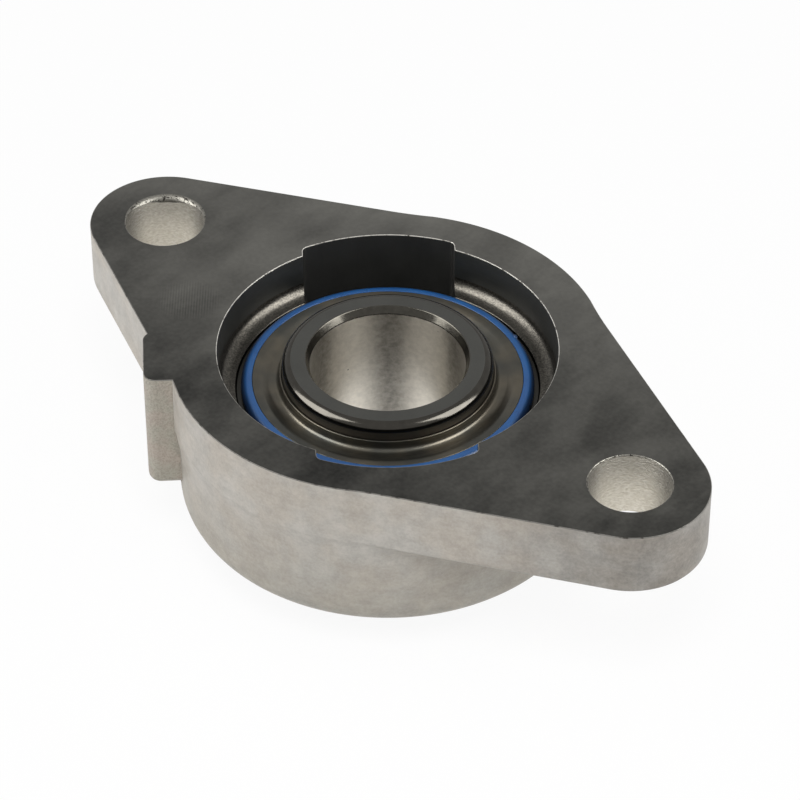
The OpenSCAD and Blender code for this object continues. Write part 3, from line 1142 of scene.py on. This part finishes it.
def ring_outside():
    """The outside of the inner ring, brownish and dark, with the bright race."""
    finish = Finish("ring_outside", 0.9, 0.3)
    radius = finish.radius()
    rings = finish.noise(0.4, detail=3, stretch=(0.06, 0.06, 1))
    stains = finish.noise(5, detail=4, shift=2)
    race = 1 - finish.ramp(radius, RING_R - 0.3, RING_R - 0.1)
    colour = finish.mix(race, srgb(78, 74, 68), srgb(150, 148, 143))
    finish.feed(Base_Color=finish.scaled(colour, 0.6 + rings * 0.4 + stains * 0.4))
    finish.bump(rings, 0.008)
    return finish.material


def pressed_disc():
    """Thin pressed sheet, olive and beige where the flinger is stained."""
    finish = Finish("pressed_disc", 0.85, 0.32)
    stains = finish.noise(8, detail=3, shift=3)
    rings = finish.noise(0.6, detail=3, stretch=(0.3, 0.3, 1), shift=1)
    colour = finish.mix(finish.ramp(stains, 0.36, 0.64), srgb(60, 60, 56), srgb(82, 77, 67))
    finish.feed(Base_Color=finish.scaled(colour, 0.75 + rings * 0.4))
    finish.bump(stains + rings * 0.3, 0.01)
    return finish.material


def blue_rubber():
    """Satin blue rubber, slightly uneven from its mould, with painted shade at its outer edge."""
    finish = Finish("blue_rubber", 0.0, 0.34, Specular_IOR_Level=0.35)
    clouds = finish.noise(4, detail=3)
    grain = finish.noise(0.3, detail=2)
    # Painted shade: the outer edge darkens where it turns down into the gap
    outer = finish.ramp(finish.radius(), RIM_R - 1.1, RIM_R - 0.2)
    clean = finish.mix(clouds, srgb(10, 58, 110), srgb(26, 89, 149))
    colour = finish.mix(outer * 0.9, clean, srgb(10, 22, 40))
    finish.feed(Base_Color=finish.scaled(colour, 0.9 + grain * 0.2))
    finish.bump(clouds + grain * 0.3, 0.02)
    return finish.material


def seal_rubber():
    """Matt black rubber of the inner seal lips."""
    finish = Finish("seal_rubber", 0.0, 0.7)
    grain = finish.noise(0.5, detail=3)
    finish.feed(Base_Color=finish.scaled(srgb(38, 38, 38), 0.8 + grain * 0.4))
    finish.bump(grain, 0.03)
    return finish.material


def plain_steel(name, colour, roughness, grain_size, depth):
    """Bare steel with a fine grain, for the parts inside the insert."""
    finish = Finish(name, 0.95, roughness)
    grain = finish.noise(grain_size, detail=4)
    clouds = finish.noise(6, detail=3, shift=2)
    finish.feed(Base_Color=finish.scaled(colour, 0.75 + grain * 0.2 + clouds * 0.3))
    finish.feed(Roughness=roughness + grain * 0.1 - 0.05)
    finish.bump(grain, depth)
    return finish.material


def dressed(node, finish):
    """Gives a shown CAD node its finish."""
    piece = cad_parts[node]
    piece.data.materials.clear()
    piece.data.materials.append(finish)


# Studio


def aimed(thing, azimuth, elevation, distance, target):
    """Places a lamp or camera round a target, looking at it."""
    away = Vector(
        (
            math.sin(azimuth) * math.cos(elevation),
            -math.cos(azimuth) * math.cos(elevation),
            math.sin(elevation),
        )
    )
    thing.location = target + away * distance
    thing.rotation_euler = away.to_track_quat("Z", "Y").to_euler()
    return thing


def camera():
    """The camera that stands where the photograph was taken from."""
    lens = bpy.data.cameras.new("camera")
    lens.sensor_width = SENSOR_W
    lens.lens = LENS
    lens.clip_start = 0.05
    lens.clip_end = 20.0
    made = bpy.data.objects.new("camera", lens)
    bpy.context.scene.collection.objects.link(made)
    aimed(made, VIEW_AZIMUTH, VIEW_ELEVATION, VIEW_DISTANCE, VIEW_CENTRE)
    bpy.context.scene.camera = made


def softbox(name, turn, elevation, width, height, radiance, highlights=False):
    """A studio lamp; its turn is counted from the camera, to the right.

    It either lights the object softly or only shows as highlights on polished metal.
    """
    lamp = bpy.data.lights.new(name, "AREA")
    lamp.shape = "RECTANGLE"
    lamp.size = width
    lamp.size_y = height
    lamp.energy = radiance * math.pi * width * height
    made = bpy.data.objects.new(name, lamp)
    bpy.context.scene.collection.objects.link(made)
    direction = VIEW_AZIMUTH + math.radians(turn)
    aimed(made, direction, math.radians(elevation), LAMP_DISTANCE, Vector())
    made.visible_diffuse = not highlights
    made.visible_glossy = highlights


def seen_directly(nodes):
    """1 for camera, glossy and transmission rays, and 0 for the rays that light the object."""
    kinds = ["Is Camera Ray", "Is Glossy Ray", "Is Transmission Ray"]
    camera_ray, glossy, transmission = [
        nodes.node("ShaderNodeLightPath", {}, {}, kind) for kind in kinds
    ]
    return nodes.math("MAXIMUM", camera_ray, nodes.math("MAXIMUM", glossy, transmission))


def studio_world():
    """Soft light from all round, and a white background."""
    world = bpy.data.worlds.new("studio")
    world.use_nodes = True
    nodes = Nodes(world.node_tree)
    strength = seen_directly(nodes) * (1 - WORLD_FILL) + WORLD_FILL
    light = nodes.node("ShaderNodeBackground", {}, {"Color": WHITE, "Strength": strength})
    nodes.node("ShaderNodeOutputWorld", {}, {"Surface": light})
    bpy.context.scene.world = world


def studio_floor():
    """A wide pale floor under the inner ring's front end; it keeps a soft shadow."""
    shape = bmesh.new()
    bmesh.ops.create_grid(shape, x_segments=1, y_segments=1, size=FLOOR_SIZE)
    bmesh.ops.translate(shape, verts=shape.verts, vec=(0, 0, (INSERT_Z - RING_FRONT) * MM))
    mesh = bpy.data.meshes.new("floor")
    shape.to_mesh(mesh)
    shape.free()
    material = bpy.data.materials.new("floor_white")
    material.use_nodes = True
    nodes = Nodes(material.node_tree)
    paper = nodes.node("ShaderNodeBsdfDiffuse", {}, {"Color": PAPER})
    glow = nodes.node("ShaderNodeEmission", {}, {"Color": WHITE, "Strength": 1.0})
    whiteness = seen_directly(nodes) * FLOOR_GLOW
    glowing = nodes.node("ShaderNodeMixShader", {}, {0: whiteness, 1: paper, 2: glow})
    nodes.node("ShaderNodeOutputMaterial", {}, {"Surface": glowing})
    mesh.materials.append(material)
    floor = bpy.data.objects.new("floor", mesh)
    bpy.context.scene.collection.objects.link(floor)


def studio():
    """World, floor, lamps and camera."""
    studio_world()
    studio_floor()
    softbox("left_softbox", -75, 33, 0.35, 0.35, 2.3)
    softbox("right_softbox", 75, 33, 0.35, 0.35, 2.0)
    softbox("top_softbox", 0, 60, 0.35, 0.35, 14.0)
    softbox("left_highlight", -85, 34, 0.7, 1.1, 11.0, highlights=True)
    softbox("right_highlight", 80, 34, 0.6, 1.1, 12.0, highlights=True)
    camera()
    bpy.context.scene.view_settings.view_transform = "Standard"


# The bearing


def flingers():
    """The flinger and its rim on either side of the insert."""
    disc_finish = pressed_disc()
    rim_finish = blue_rubber()
    for side in ("back", "front"):
        flinger(side + "_flinger", side == "front", disc_finish)
        flinger_rim(side + "_flinger_rim", side == "front", rim_finish)


def inner_parts():
    """The parts that keep their CAD shape, most of them hidden inside the insert."""
    # Painted shade: the outer ring is near black, standing in for the shade in the gap round the
    # flinger rim
    outer_finish = plain_steel("outer_ring_steel", srgb(44, 43, 40), 0.3, 0.6, 0.008)
    carrier_finish = plain_steel("carrier_steel", srgb(150, 148, 142), 0.35, 0.8, 0.01)
    lip_finish = seal_rubber()
    cage_finish = plain_steel("cage_steel", srgb(158, 156, 150), 0.38, 0.9, 0.012)
    screw_finish = plain_steel("screw_steel", srgb(92, 90, 88), 0.36, 0.5, 0.01)
    ball_finish = plain_steel("ball_steel", srgb(196, 196, 196), 0.1, 0.7, 0.001)
    dressed("outer_ring", outer_finish)
    for side in ("back", "front"):
        dressed(side + "_seal_carrier", carrier_finish)
        dressed(side + "_seal_lip", lip_finish)
        dressed("cage_" + side + "_half", cage_finish)
    dressed("cage_rivets", cage_finish)
    for number in range(1, 10):
        dressed(f"ball_{number}", ball_finish)
    for number in (1, 2):
        dressed(f"set_screw_{number}", screw_finish)


housing_casting()
inner_ring()
flingers()
inner_parts()
studio()
